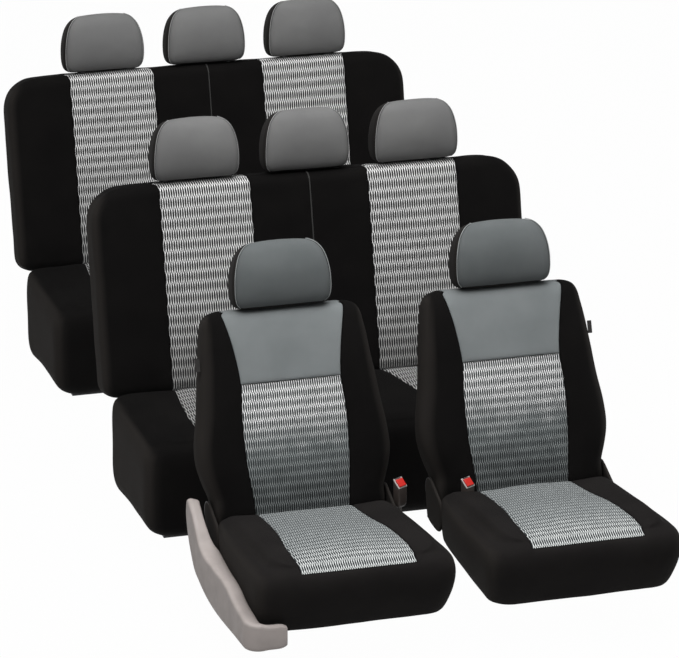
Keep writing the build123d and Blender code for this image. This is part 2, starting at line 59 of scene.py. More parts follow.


# ---- materials
class Graph:
    """The node tree of a material or world, with short calls for its nodes."""

    def __init__(self, owner):
        owner.use_nodes = True
        self.owner, self.tree = owner, owner.node_tree

    def add(self, kind, inputs=None, **settings):
        """Adds a node with its settings, and sets or links its inputs."""
        node = self.tree.nodes.new(kind)
        for key, value in settings.items():
            setattr(node, key, value)
        for key, value in (inputs or {}).items():
            self.put(value, node.inputs[key])
        return node

    def put(self, value, socket):
        """Sets a socket to a plain value, or links another socket to it."""
        if isinstance(value, bpy.types.NodeSocket):
            self.tree.links.new(value, socket)
        else:
            socket.default_value = value

    def math(self, operation, *values):
        """The result of an arithmetic operation."""
        return self.add("ShaderNodeMath", dict(enumerate(values)), operation=operation).outputs[0]

    def span(self, value, low, high, to_low=0.0, to_high=1.0):
        """Maps low..high of a value onto to_low..to_high, clamped."""
        inputs = {0: value, 1: low, 2: high, 3: to_low, 4: to_high}
        return self.add("ShaderNodeMapRange", inputs).outputs[0]

    def mix(self, share, a, b):
        """Blends two colours, from a where the share is 0 to b where it is 1."""
        inputs = {0: share, 6: a, 7: b}
        return self.add("ShaderNodeMix", inputs, data_type="RGBA").outputs[2]

    def noise(self, scale, detail=2.0):
        """Soft noise over the object's own coordinates."""
        inputs = {"Scale": scale, "Detail": detail, "Vector": self.place()}
        return self.add("ShaderNodeTexNoise", inputs).outputs["Fac"]

    def place(self):
        """A point's place in the object's own coordinates."""
        return self.add("ShaderNodeTexCoord").outputs["Object"]

    def bump(self, height, distance, strength, below=None):
        """The normal of a relief, laid over the one below it."""
        inputs = {"Height": height, "Distance": distance, "Strength": strength}
        if below:
            inputs["Normal"] = below
        return self.add("ShaderNodeBump", inputs).outputs[0]

    def finish(self, color, normal=None, **constants):
        """Fills in the material's shader and gives the material."""
        inputs = self.tree.nodes["Principled BSDF"].inputs
        self.put(color, inputs["Base Color"])
        if normal:
            self.put(normal, inputs["Normal"])
        for key, value in constants.items():
            self.put(value, inputs[key.replace("_", " ")])
        return self.owner


def weave(g, pitch):
    """Height of a plain weave: threads along and across, in the cloth's own plane."""
    u, v, _ = g.add("ShaderNodeSeparateXYZ", {0: g.add("ShaderNodeUVMap").outputs[0]}).outputs
    turns = 2 * math.pi / pitch
    across = g.math("SINE", g.math("MULTIPLY", u, turns))
    along = g.math("SINE", g.math("MULTIPLY", v, turns))
    return g.math("MULTIPLY", across, along)


def cloth(name, dark, light, pitch=0.0016, sheen=0.25, gloss=0.2, sides=None):
    """Flat woven cloth: mottled colour, a fine weave, soft rumples.

    sides is the lighter colour that a cover's side panels turn to, where one is given: painted side
    light, set by how far the cover faces sideways.
    """
    g = Graph(bpy.data.materials.new(name))
    mottle = g.span(g.noise(9.0, 3.0), 0.35, 0.65)
    grain = g.noise(900.0)
    color = g.mix(g.math("ADD", g.math("MULTIPLY", mottle, 0.6), g.math("MULTIPLY", grain, 0.4)),
                  (*dark, 1), (*light, 1))
    # where a cover faces sideways its colour turns to the lighter sides colour: painted side light
    if sides:
        share = g.add("ShaderNodeAttribute", attribute_name=PAINTED_SIDE_LIGHT).outputs["Fac"]
        color = g.mix(share, color, (*sides, 1))
    rumple = g.bump(g.noise(14.0, 3.0), 0.004, 0.35)
    threads = g.bump(weave(g, pitch), THREAD_HEIGHT, 0.5, rumple)
    return g.finish(color, threads, Roughness=0.92, Sheen_Weight=sheen, Sheen_Roughness=0.45,
                    Specular_IOR_Level=gloss)


def slit_mesh(name, row_height, pitch, low, high, *painted_light_shades, upright=True):
    """Air mesh: rows of upright pointed slits, each row half a slit on from the last.

    The (thread, slit) colour pairs given are three, from low through midway to high: heights above
    the floor on an upright panel, lengths along the cloth from its hem on a flat one. Their grading
    is painted light and shade; the contrast of threads and slits is the cloth's own.
    """
    g = Graph(bpy.data.materials.new(name))
    u, v, _ = g.add("ShaderNodeSeparateXYZ", {0: g.add("ShaderNodeUVMap").outputs[0]}).outputs
    row = g.math("DIVIDE", v, row_height)
    odd = g.math("MULTIPLY", g.math("MODULO", g.math("FLOOR", row), 2.0), 0.5)
    across = g.math("ADD", g.math("DIVIDE", u, pitch), odd)
    from_middle = g.math("ABSOLUTE", g.math("SUBTRACT", g.math("FRACT", row), 0.5))
    opened = None
    for shift, away in ((0.0, from_middle), (0.5, g.math("SUBTRACT", 1.0, from_middle))):
        aside = g.math("FRACT", g.math("ADD", across, shift))
        aside = g.math("ABSOLUTE", g.math("SUBTRACT", aside, 0.5))
        taper = g.math("POWER", g.math("DIVIDE", away, SLIT_REACH), 2.4)
        half_slit = g.math("MULTIPLY", g.math("SUBTRACT", 1.0, taper), SLIT_HALF)
        lens = g.span(g.math("SUBTRACT", half_slit, aside), -0.06, 0.08)
        opened = g.math("MAXIMUM", opened, lens) if opened else lens
    # up runs from 0 at low to 1 at high, with a little random tone: the share of painted light and
    # shade
    at = g.add("ShaderNodeSeparateXYZ", {0: g.place()}).outputs[2] if upright else v
    up = g.math("ADD", g.span(at, low, high), g.span(g.noise(22.0), 0.3, 0.7, -0.1, 0.1))
    lower, upper = g.span(up, 0.0, 0.5), g.span(up, 0.5, 1.0)
    colors = []
    for bottom, middle, top in zip(*painted_light_shades):
        colors.append(g.mix(upper, g.mix(lower, (*bottom, 1), (*middle, 1)), (*top, 1)))
    color = g.mix(opened, *colors)
    raised = g.math("SUBTRACT", 1.0, opened)
    normal = g.bump(raised, 0.0011, 0.8, g.bump(g.noise(600.0, 1.0), 0.0002, 0.4))
    return g.finish(color, normal, Roughness=0.85, Sheen_Weight=0.12, Specular_IOR_Level=0.25)


def plastic(name, color, roughness, grain=0.00015):
    """Moulded plastic with a fine grain and slight wear in its gloss."""
    g = Graph(bpy.data.materials.new(name))
    worn = g.span(g.noise(18.0, 4.0), 0.3, 0.7)
    tint = g.mix(worn, (*(c * 0.86 for c in color), 1), (*color, 1))
    rough = g.span(g.noise(40.0, 3.0), 0.3, 0.7, roughness - 0.06, roughness + 0.06)
    return g.finish(tint, g.bump(g.noise(1500.0), grain, 0.5), Roughness=rough,
                    Specular_IOR_Level=0.4)


def metal(name, color, roughness, metallic=1.0):
    """Metal with faint streaks in its roughness."""
    g = Graph(bpy.data.materials.new(name))
    rough = g.span(g.noise(60.0, 4.0), 0.3, 0.7, roughness - 0.05, roughness + 0.07)
    tint = g.mix(g.noise(30.0), (*(c * 0.8 for c in color), 1), (*color, 1))
    return g.finish(tint, g.bump(g.noise(700.0), 0.0001, 0.3), Roughness=rough, Metallic=metallic)


SLIT_REACH = 0.60  # half a slit's length, in rows
SLIT_HALF = 0.39  # half its width, in slits
# the sides colour of the black cloths is painted side light, lighter than their black
BLACK = cloth("black_cloth", (0.0024, 0.0021, 0.0021), (0.0044, 0.0039, 0.0037), sheen=0.0,
              gloss=0.10, sides=(0.0220, 0.0195, 0.0178))
# a lighter copy of the black cloth, for the front cushions' covers: painted light
LIT_SEAT_BLACK = cloth("lit_seat_black_cloth", (0.0090, 0.0080, 0.0079), (0.0138, 0.0124, 0.0119),
                   sheen=0.0, gloss=0.10, sides=(0.0220, 0.0195, 0.0178))
GUSSET = cloth("black_gusset_cloth", (0.009, 0.0078, 0.0070), (0.0145, 0.0125, 0.0115), sheen=0.02)
FRONT_GREY = cloth("front_grey_cloth", (0.158, 0.173, 0.176), (0.198, 0.213, 0.216), 0.0012, 0.05)
# a darker copy of the front grey cloth, for the front headrests' panels: painted shade
SHADED_HEAD_GREY = cloth("shaded_front_headrest_cloth", (0.102, 0.112, 0.114), (0.128, 0.138, 0.14), 0.0012, 0.05)
BENCH_GREY = cloth("bench_grey_cloth", (0.145, 0.145, 0.145), (0.178, 0.178, 0.176), 0.0012, 0.05)
# lighter higher up, white threads at the top: painted light from above
FRONT_MESH = slit_mesh("front_mesh", 0.0247, 0.0060, 0.28, 0.50,
                       ((0.160, 0.175, 0.175), (0.004, 0.006, 0.007)),
                       ((0.30, 0.325, 0.325), (0.035, 0.042, 0.044)),
                       ((1.00, 1.00, 1.00), (0.026, 0.031, 0.033)))
# lightest at the front edge near the hem, darker towards the rear: painted light
SEAT_MESH = slit_mesh("front_seat_mesh", 0.0247, 0.0060, 0.23, 0.52,
                      ((0.80, 0.83, 0.82), (0.020, 0.024, 0.026)),
                      ((0.47, 0.50, 0.50), (0.036, 0.042, 0.044)),
                      ((0.36, 0.385, 0.385), (0.050, 0.057, 0.060)), upright=False)
# lighter higher up: painted light from above
BENCH_MESH = slit_mesh("bench_mesh", 0.0300, 0.0068, 0.33, 0.62,
                       ((0.42, 0.42, 0.415), (0.008, 0.008, 0.008)),
                       ((0.70, 0.70, 0.695), (0.010, 0.010, 0.010)),
                       ((0.88, 0.88, 0.875), (0.014, 0.014, 0.014)))
# piping far lighter than the grey it edges: real piping, lightened as a painted highlight along the
# headrests' edges
HIGHLIT_PIPING = cloth("highlit_piping_cloth", (0.27, 0.29, 0.29), (0.35, 0.37, 0.37), 0.0012, 0.2)
HIGHLIT_BENCH_PIPING = cloth("highlit_bench_piping_cloth", (0.26, 0.26, 0.26), (0.33, 0.33, 0.33), 0.0012, 0.2)
TAG = cloth("tag_tape", (0.020, 0.019, 0.019), (0.032, 0.031, 0.030), 0.0012, 0.05)
ZIP = cloth("zip_tape", (0.026, 0.026, 0.025), (0.052, 0.052, 0.050), 0.0012, 0.1)
STITCH = cloth("stitch_thread", (0.02, 0.022, 0.022), (0.035, 0.037, 0.037), 0.0012, 0.1)
SHIELD = plastic("shield_plastic", (0.395, 0.352, 0.335), 0.62, 0.0003)
HOUSING = plastic("buckle_plastic", (0.045, 0.036, 0.032), 0.5)
RIM = plastic("buckle_rim", (0.42, 0.40, 0.39), 0.45)
RED = plastic("button_plastic", (0.56, 0.020, 0.014), 0.42, 0.00005)
STEEL = metal("frame_steel", (0.030, 0.030, 0.032), 0.45, 0.3)
CHROME = metal("post_chrome", (0.62, 0.62, 0.63), 0.18)


# ---- objects
def linked(name, data):
    """An object made of some data and linked to the scene."""
    obj = bpy.data.objects.new(name, data)
    bpy.context.scene.collection.objects.link(obj)
    return obj


def meshed(name, points, faces, smooth_ends=False):
    """An object made of points and faces, smooth all over or only on four-sided faces."""
    mesh = bpy.data.meshes.new(name)
    mesh.from_pydata(points, [], faces)
    for polygon in mesh.polygons:
        polygon.use_smooth = smooth_ends or len(polygon.vertices) == 4
    return linked(name, mesh)


def tube_faces(start, rings, count):
    """Faces that join rings of so many points each into a tube, with both ends filled."""
    faces = []
    for j in range(rings - 1):
        for k in range(count):
            a, b = start + j * count + k, start + j * count + (k + 1) % count
            faces.append((a, b, b + count, a + count))
    last = start + (rings - 1) * count
    return faces + [tuple(range(start, start + count))[::-1], tuple(range(last, last + count))]


def tube(name, points, radius, place):
    """A thin round bead, zip or thread along points."""
    data = bpy.data.curves.new(name, "CURVE")
    data.dimensions = "3D"
    data.bevel_depth = radius
    data.bevel_resolution = 2
    data.use_fill_caps = True
    line = data.splines.new("NURBS")
    line.points.add(len(points) - 1)
    for knot, point in zip(line.points, points):
        knot.co = (*place(Vector(point)), 1)
    line.order_u = 3
    line.use_endpoint_u = True
    return linked(name, data)


def soft_box(name, move, bevel, segments, profile):
    """A block with bevelled edges; move puts each corner of a unit cube in its place."""
    mesh = bpy.data.meshes.new(name)
    bm = bmesh.new()
    for corner in bmesh.ops.create_cube(bm, size=1.0)["verts"]:
        corner.co = move(corner.co)
    bmesh.ops.bevel(bm, geom=bm.edges[:], offset=bevel, segments=segments, affect="EDGES",
                    profile=profile)
    bm.to_mesh(mesh)
    bm.free()
    return linked(name, mesh)


def dress(obj, name, body, slot, material, *nodes, fill=0.8):
    """Names a piece, gives it its material, ties it to its body, and hides the CAD nodes it stands
    for.
    """
    obj.name = name
    obj.data.materials.clear()
    obj.data.materials.append(material)
    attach(obj, body)
    if nodes:
        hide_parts(*nodes)


def polish(prefix, *names):
    """Gives CAD nodes that stay in sight the look of their steel."""
    for name in names:
        obj = frame["nodes"][prefix + name]
        obj.data.materials.clear()
        obj.data.materials.append(STEEL)


def leaning(origin, up):
    """Gives a function from (across, behind, along) on a leaning back to (x, y, z)."""
    origin, up = Vector(origin), Vector(up)
    behind = up.cross(Vector((1, 0, 0)))

    def place(p):
        return origin + Vector((p.x, 0, 0)) + behind * p.y + up * p.z
    return place


# ---- panels on a grid
def columns(breaks, counts):
    """Places across a panel: each stretch between two breaks is divided, with lips at seams."""
    places = [breaks[0]]
    for k, count in enumerate(counts):
        start, end = breaks[k], breaks[k + 1]
        low = start + (LIP if k > 0 else 0)
        high = end - (LIP if k < len(counts) - 1 else 0)
        steps = list(np.linspace(low, high, count))
        places += [p for p in steps if p - start > 1e-6] + ([end] if end - high > 1e-6 else [])
    return np.array(places)


CORNER_STEPS = 5
SIDE_STEPS = 8
RING_SIDE = 2 * CORNER_STEPS + SIDE_STEPS  # steps from the front edge to the rear one
SIDE_BOW = 2.4  # above 1, a side bows out before it draws in towards the rear


def ring(front_xs, rear_xs, front, rear, corner, rear_corner):
    """A closed outline seen from above: front edge, right side, rear edge, left side."""
    turn = np.linspace(0, math.pi / 2, CORNER_STEPS + 1)
    bow = np.linspace(0, 1, SIDE_STEPS + 1) ** SIDE_BOW
    ys = np.linspace(front + corner, rear - rear_corner, SIDE_STEPS + 1)

    def side(near, far, out):
        """Points from one end of the front edge to the same end of the rear one."""
        start, end = near + out * corner, far + out * rear_corner
        points = [(near + out * corner * math.sin(a), front + corner * (1 - math.cos(a)))
                  for a in turn]
        points += list(zip(start + (end - start) * bow, ys))[1:]
        return points + [(far + out * rear_corner * math.cos(a),
                          rear - rear_corner * (1 - math.sin(a))) for a in turn[1:]]
    right = side(front_xs[-1], rear_xs[-1], 1)
    left = side(front_xs[0], rear_xs[0], -1)[::-1]
    return ([(x, front) for x in front_xs] + right[1:] + [(x, rear) for x in rear_xs[::-1][1:]]
            + left[1:-1])


class Skin:
    """Quads on a stack of rings, closed by grids, each quad belonging to a named panel."""

    def __init__(self):
        self.index, self.points = {}, []
        self.faces = []  # the vertices of each with their UVs, and its panel's name

    def vertex(self, point):
        """The number of the vertex at a point, which is made where there is none."""
        key = tuple(round(c, 6) for c in point)
        if key not in self.index:
            self.index[key] = len(self.points)
            self.points.append(point)
        return self.index[key]

    def grid(self, points, uvs, tag):
        """Adds quads between neighbouring points; tag(row, column) names their panel."""
        rows, count = len(points), len(points[0])
        ids = [[self.vertex(tuple(p)) for p in row] for row in points]
        for j in range(rows - 1):
            for i in range(count - 1):
                corners = {}
                for a, b in ((j, i), (j, i + 1), (j + 1, i + 1), (j + 1, i)):
                    corners.setdefault(ids[a][b], uvs[a][b])
                if len(corners) > 2:
                    self.faces.append((corners, tag(j, i)))

    def pieces(self, place, thickness=CLOTH, rumple=0.0, seed=0.0, seam=SEAM_DEPTH):
        """Makes one thin padded object of each panel, sunk a little along its seams."""
        mesh = bpy.data.meshes.new("skin")
        mesh.from_pydata(self.points, [], [list(corners) for corners, _ in self.faces])
        mesh.update()
        normals = [v.normal.copy() for v in mesh.vertices]
        bpy.data.meshes.remove(mesh)
        owners = [set() for _ in self.points]
        for corners, tag in self.faces:
            for v in corners:
                owners[v].add(tag)
        moved = []
        for k, point in enumerate(self.points):
            p = Vector(point)
            bend = noise.noise(p * BEND_SCALE + Vector((seed, 0, 0)))
            bend += 0.5 * noise.noise(p * FINE_BEND_SCALE)
            sewn = seam if len(owners[k]) > 1 else 0.0
            moved.append(place(p + normals[k] * (rumple * bend - sewn)))
        made = {}
        for tag in sorted({tag for _, tag in self.faces}):
            faces = [corners for corners, owner in self.faces if owner == tag]
            used = sorted({v for corners in faces for v in corners})
            at = {v: n for n, v in enumerate(used)}
            mesh = bpy.data.meshes.new(tag)
            mesh.from_pydata([moved[v] for v in used], [], [[at[v] for v in f] for f in faces])
            layer = mesh.uv_layers.new(name="UVMap")
            for loop, uv in zip(layer.data, (uv for corners in faces for uv in corners.values())):
                loop.uv = uv
            # how far each point faces sideways sets its share of painted side light
            sideways = mesh.attributes.new(PAINTED_SIDE_LIGHT, "FLOAT", "POINT")
            for n, v in enumerate(used):
                t = min(max((abs(normals[v].x) - SIDE_LIGHT_FROM) / SIDE_LIGHT_OVER, 0.0), 1.0)
                sideways.data[n].value = t * t * (3 - 2 * t)
            mesh.shade_smooth()
            obj = linked(tag, mesh)
            shell = obj.modifiers.new("thickness", "SOLIDIFY")
            shell.thickness = thickness
            shell.offset = -1
            soft = obj.modifiers.new("soft", "SUBSURF")
            soft.levels = soft.render_levels = 1
            made[tag] = obj
        return made


def coons(front, rear, left, right):
    """A grid of points spanned by four edges; left and right run from front to rear."""
    front, rear, left, right = (np.array(edge, float) for edge in (front, rear, left, right))
    s = (front[:, 0] - front[0, 0]) / (front[-1, 0] - front[0, 0])
    t = (left[:, 1] - left[0, 1]) / (left[-1, 1] - left[0, 1])
    s, t = s[None, :, None], t[:, None, None]
    across = (1 - t) * front[None] + t * rear[None]
    along = (1 - s) * left[:, None] + s * right[:, None]
    corners = ((1 - s) * (1 - t) * front[0] + s * (1 - t) * front[-1]
               + (1 - s) * t * rear[0] + s * t * rear[-1])
    return across + along - corners


def edges_of(loop, across):
    """The four edges of a ring, for coons."""
    right_end = across + RING_SIDE
    front = loop[:across]
    right = loop[across - 1:right_end]
    rear = loop[right_end - 1:right_end - 1 + across][::-1]
    left = [loop[0]] + loop[:right_end + across - 3:-1]
    return front, rear, left, right


def curve(at, places, values):
    """A smooth line through a few (place, value) pairs."""
    places, values = np.array(places, float), np.array(values, float)
    slopes = np.gradient(values, places)
    k = int(np.clip(np.searchsorted(places, at) - 1, 0, len(places) - 2))
    h = places[k + 1] - places[k]
    t = min(max((at - places[k]) / h, 0.0), 1.0)
    rise = (2 * t ** 3 - 3 * t ** 2 + 1) * values[k] + (3 * t ** 2 - 2 * t ** 3) * values[k + 1]
    run = (t ** 3 - 2 * t ** 2 + t) * slopes[k] + (t ** 3 - t ** 2) * slopes[k + 1]
    return float(rise + h * run)


def hump(x, low, high):
    """1 midway between two places, 0 at and beyond them, smooth all the way."""
    t = (x - low) / (high - low)
    return math.sin(math.pi * t) ** 2 if 0 < t < 1 else 0.0


def stack_up(skin, loops, arc, tag):
    """Joins rings into a wall. Each loop is a list of 3-D points; arc is each ring's v."""
    closed = [list(loop) + [loop[0]] for loop in loops]
    uvs = [[(p[0], v) for p in loop] for loop, v in zip(closed, arc)]
    skin.grid(closed, uvs, tag)


# ---- upright pads
CAP_LIFT = 0.004  # how far the middle of a pad's top or bottom stands out


def upright_pad(rows, breaks, counts, puff, tag, cap_tag):
    """A pad standing along z: one ring a row, closed above and below.

    rows are (z, half width, front, rear, corner); breaks(z, half - corner) are the seams
    across it; puff(x, y, z, half, front, rear) moves a point along its depth; tag(ring,
    column) and cap_tag(is_top, share of the depth, column) name the panels.
    """
    skin = Skin()
    loops, arc, v = [], [], 0.0
    for k, (z, half, front, rear, corner) in enumerate(rows):
        edge = half - corner
        xs = columns(breaks(z, edge), counts)
        loop = ring(xs, xs, front, rear, corner, corner)
        loops.append([(x, y + puff(x, y, z, half, front, rear), z) for x, y in loop])
        if k:
            v += math.hypot(z - rows[k - 1][0], front - rows[k - 1][2])
        arc.append(v)
    across = len(xs)
    stack_up(skin, loops, arc, tag)
    ends = ((loops[0], 0.0, -CAP_LIFT, False), (loops[-1], arc[-1], CAP_LIFT, True))
    for loop, v, lift, top in ends:
        net = coons(*edges_of(loop, across))
        s = np.linspace(-1, 1, net.shape[1])[None, :]
        t = np.linspace(-1, 1, net.shape[0])[:, None]
        net[:, :, 2] += lift * (1 - s ** 2) * (1 - t ** 2)
        uvs = [[(p[0], v + (p[1] - net[0, i, 1]) * (1 if top else -1)) for i, p in enumerate(row)]
               for row in net]
        if not top:
            net, uvs = net[:, ::-1], [row[::-1] for row in uvs]
        last = net.shape[1] - 2
        skin.grid(net, uvs, lambda j, i: cap_tag(top, j / net.shape[0], i if top else last - i))
    return skin, loops


def seam_columns(counts):
    """The column at which each stretch between breaks starts."""
    places, at = [0], 0
    for k, count in enumerate(counts):
        at += count - 1 + (k > 0) + (k < len(counts) - 1)
        places.append(at)
    return places


# ---- front seats
BACK_ROWS = [  # height on the back, half width, thickness, middle of the thickness
    (-0.060, 0.231, 0.120, 0.000), (0.000, 0.2325, 0.120, 0.000), (0.036, 0.2335, 0.120, 0.000),
    (0.065, 0.2450, 0.120, 0.000), (0.117, 0.2595, 0.120, 0.000), (0.280, 0.2465, 0.120, 0.000),
    (0.400, 0.231, 0.114, 0.003), (0.467, 0.221, 0.106, 0.005), (0.498, 0.2125, 0.095, 0.006),
    (0.512, 0.203, 0.080, 0.006), (0.521, 0.190, 0.060, 0.006), (0.524, 0.180, 0.044, 0.006)]
YOKE_LOW = 0.330  # height of the seam between the mesh insert and the yoke
BACK_TOP = BACK_ROWS[-1][0]
BACK_STEP = 0.0165
ROLL_R = 0.06  # of the back's rounded lower edge
NEAREST_SEAM = 0.014  # the least distance from a seam to the edge
FACE_DEPTH = 0.06  # behind the front face, crowning has faded out here
SEAM_R, ZIP_R = 0.0011, 0.0017  # of stitches and piping, and of a bench's middle seam
FRONT_COUNTS = [7, 17, 7]


def back_row(u):
    """Half width, front and rear of a front seat's back at one height."""
    heights = [row[0] for row in BACK_ROWS]
    half, thick, middle = (curve(u, heights, [row[k] for row in BACK_ROWS]) for k in (1, 2, 3))
    return half, middle - thick / 2, middle + thick / 2


def front_back(side, place):
    """The back of one front seat: black cover, grey yoke and mesh insert."""
    name = f"front_{side}_back"
    heights = list(np.arange(0.0, YOKE_LOW - LIP, BACK_STEP))[:-1]
    heights += [YOKE_LOW - LIP, YOKE_LOW, YOKE_LOW + LIP]
    heights += list(np.arange(YOKE_LOW + 0.019, 0.46, BACK_STEP))
    heights += [0.470, 0.483, 0.494, 0.503, 0.510, 0.516, 0.521, BACK_TOP]
    low_half, drawn_in = BACK_ROWS[0][1], 0.012
    rows = []
    for turn in np.radians([84, 76, 66, 54, 41, 27, 13]):
        reach = ROLL_R * math.cos(turn)
        rows.append((-ROLL_R * math.sin(turn), low_half - drawn_in * (1 - math.cos(turn)), -reach,
                     reach, max(0.004, 0.55 * reach)))
    for u in heights:
        half, front, rear = back_row(u)
        corner = curve(u, [0, 0.12, 0.4, 0.5, BACK_TOP], [0.033, 0.046, 0.042, 0.026, 0.010])
        rows.append((u, half, front, rear, corner))

    def seams(u, edge):
        seam = curve(u, [-0.06, 0.0, 0.12, 0.24, YOKE_LOW, 0.42, BACK_TOP],
                     [0.127, 0.129, 0.139, 0.141, 0.136, 0.146, 0.168])
        seam = min(seam, edge - NEAREST_SEAM)
        return [-edge, -seam, seam, edge]

    def puff(x, y, u, half, front, rear):
        seam = 0.137
        face = max(0.0, 1 - (y - front) / FACE_DEPTH)
        bolster = hump(abs(x), seam - 0.01, half + 0.02) * 0.013
        bolster *= min(1.0, max(0.0, (u + 0.02) / 0.12)) * min(1.0, max(0.0, (0.53 - u) / 0.15))
        centre = 0.007 * max(0.0, 1 - (x / seam) ** 2) * hump(u, -0.08, 0.42)
        yoke = 0.004 * max(0.0, 1 - (x / 0.15) ** 2) * hump(u, 0.30, 0.58)
        return -face * (bolster + centre + yoke)

    border = next(k for k, row in enumerate(rows) if abs(row[0] - YOKE_LOW) < 1e-9)
    middle = range(*seam_columns(FRONT_COUNTS)[1:3])

    def tag(j, i):
        if i not in middle:
            return "cover"
        return "yoke" if j >= border else "insert"

    def cap_tag(top, t, i):
        if i not in middle or (t >= 0.5 if top else t <= 0.5):
            return "cover"
        return "yoke" if top else "insert"

    skin, loops = upright_pad(rows, seams, FRONT_COUNTS, puff, tag, cap_tag)
    made = skin.pieces(place, rumple=0.0016, seed=3.0 if side == "left" else 8.0)
    dress(made["cover"], name + "_cover_cloth", name, "black_cloth", BLACK,
          name + "_cover", name + "_foam")
    dress(made["yoke"], name + "_yoke_cloth", name, "front_grey_cloth", FRONT_GREY, name + "_yoke")
    dress(made["insert"], name + "_mesh", name, "mesh_cloth", FRONT_MESH, name + "_insert")
    seam_at = [Vector(loops[border][i]) + Vector((0, -0.0002, 0))
               for i in range(middle.start, middle.stop + 1)]
    line = tube(name + "_yoke_seam", seam_at, SEAM_R, place)
    dress(line, name + "_yoke_seam", name, "black_cloth", STITCH, fill=None)


# ---- headrests
HEADREST_H = 0.170
HEADREST_UP = 0.527  # its lower edge on a front back
HEADREST_AHEAD = 0.034  # the pad's middle is this far ahead of its posts
POST_X = 0.070
PAD_LEAN = 0.14  # how far it leans forward of the back, per height
PAD_HALF_DEPTH = 0.050
PAD_COLUMNS = 15
PANEL_TURN = 3  # quads of a ring's corner that the front panel reaches round
PAD_SHAPE = [  # share of the height, of the width and of the depth
    (0.0, 0.81, 0.40), (0.015, 0.865, 0.52), (0.045, 0.925, 0.65), (0.10, 0.970, 0.79),
    (0.20, 0.996, 0.91), (0.33, 1.0, 0.975), (0.47, 0.992, 1.0), (0.60, 0.966, 0.975),
    (0.72, 0.925, 0.91), (0.82, 0.872, 0.82), (0.89, 0.805, 0.71), (0.94, 0.740, 0.58),
    (0.975, 0.665, 0.43), (1.0, 0.57, 0.26)]


def headrest(prefix, frame_place, bottom, across_x, grey, bead, slot):
    """A headrest: grey panel over the top, black sides and rear, piping, two posts."""
    low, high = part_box(prefix + "_cover")
    half_width = (high.x - low.x) / 2

    def place(p):
        return frame_place(p + Vector((across_x, 0, 0)))
    rows = []
    for k, w, d in PAD_SHAPE:
        depth = d * PAD_HALF_DEPTH
        middle = -HEADREST_AHEAD - PAD_LEAN * (k - 0.5) * HEADREST_H
        rows.append((bottom + k * HEADREST_H, w * half_width, middle - depth, middle + depth,
                     max(0.005, 0.62 * depth)))

    def puff(x, y, u, half, front, rear):
        crown = 0.006 * max(0.0, 1 - (x / half) ** 2) * hump(u, bottom - 0.03, bottom + 0.20)
        return -crown if y < (front + rear) / 2 else crown * 0.7

    right_seam = PAD_COLUMNS - 1 + PANEL_TURN
    left_seam = 2 * (PAD_COLUMNS - 1 + RING_SIDE) - PANEL_TURN

    def tag(j, i):
        return "gusset" if right_seam <= i < left_seam else "panel"

    def cap_tag(top, t, i):
        return "panel" if top and t < 0.6 else "gusset"

    skin, loops = upright_pad(
        rows, lambda u, edge: [-edge, edge], [PAD_COLUMNS], puff, tag, cap_tag)
    made = skin.pieces(place, rumple=0.0012, seed=across_x * 40 + bottom * 9, seam=0.0010)
    dress(made["panel"], prefix + "_panel", prefix, slot, grey, prefix + "_cover")
    dress(made["gusset"], prefix + "_gusset", prefix, "black_cloth", GUSSET, prefix + "_cover")
    # the piping beads' light colour is a painted highlight along the panel's edges
    for name, column, step in (("right", right_seam, 1), ("left", left_seam, -1)):
        path = [Vector(loop[column]) for loop in loops[1:]]
        path += [Vector(loops[-1][column + step * k]) for k in range(1, 7)]
        piping = tube("bead", path, SEAM_R, place)
        dress(piping, f"{prefix}_{name}_piping", prefix, slot, bead, fill=None)
    posts = headrest_posts(prefix + "_posts", bottom, place)
    dress(posts, prefix + "_posts", prefix, "frame_steel", CHROME, prefix + "_core", fill=None)


def headrest_posts(name, bottom, place):
    """The two round posts, with click notches down one stretch and rounded ends."""
    radius, foot = 0.006, bottom - 0.165
    profile = [(0.0005, foot), (0.0045, foot + 0.0006), (radius, foot + 0.003)]
    for k in range(4):
        z = foot + 0.060 + 0.018 * k
        profile += [(radius, z), (radius - 0.0014, z + 0.0016), (radius, z + 0.0032)]
    profile += [(radius, bottom + 0.03), (0.0005, bottom + 0.0305)]
    points, faces, sides = [], [], 20
    for x in (-POST_X, POST_X):
        faces += tube_faces(len(points), len(profile), sides)
        for r, z in profile:
            for k in range(sides):
                a = 2 * math.pi * k / sides
                points.append(place(Vector((x + r * math.cos(a), r * math.sin(a), z))))
    return meshed(name, points, faces)


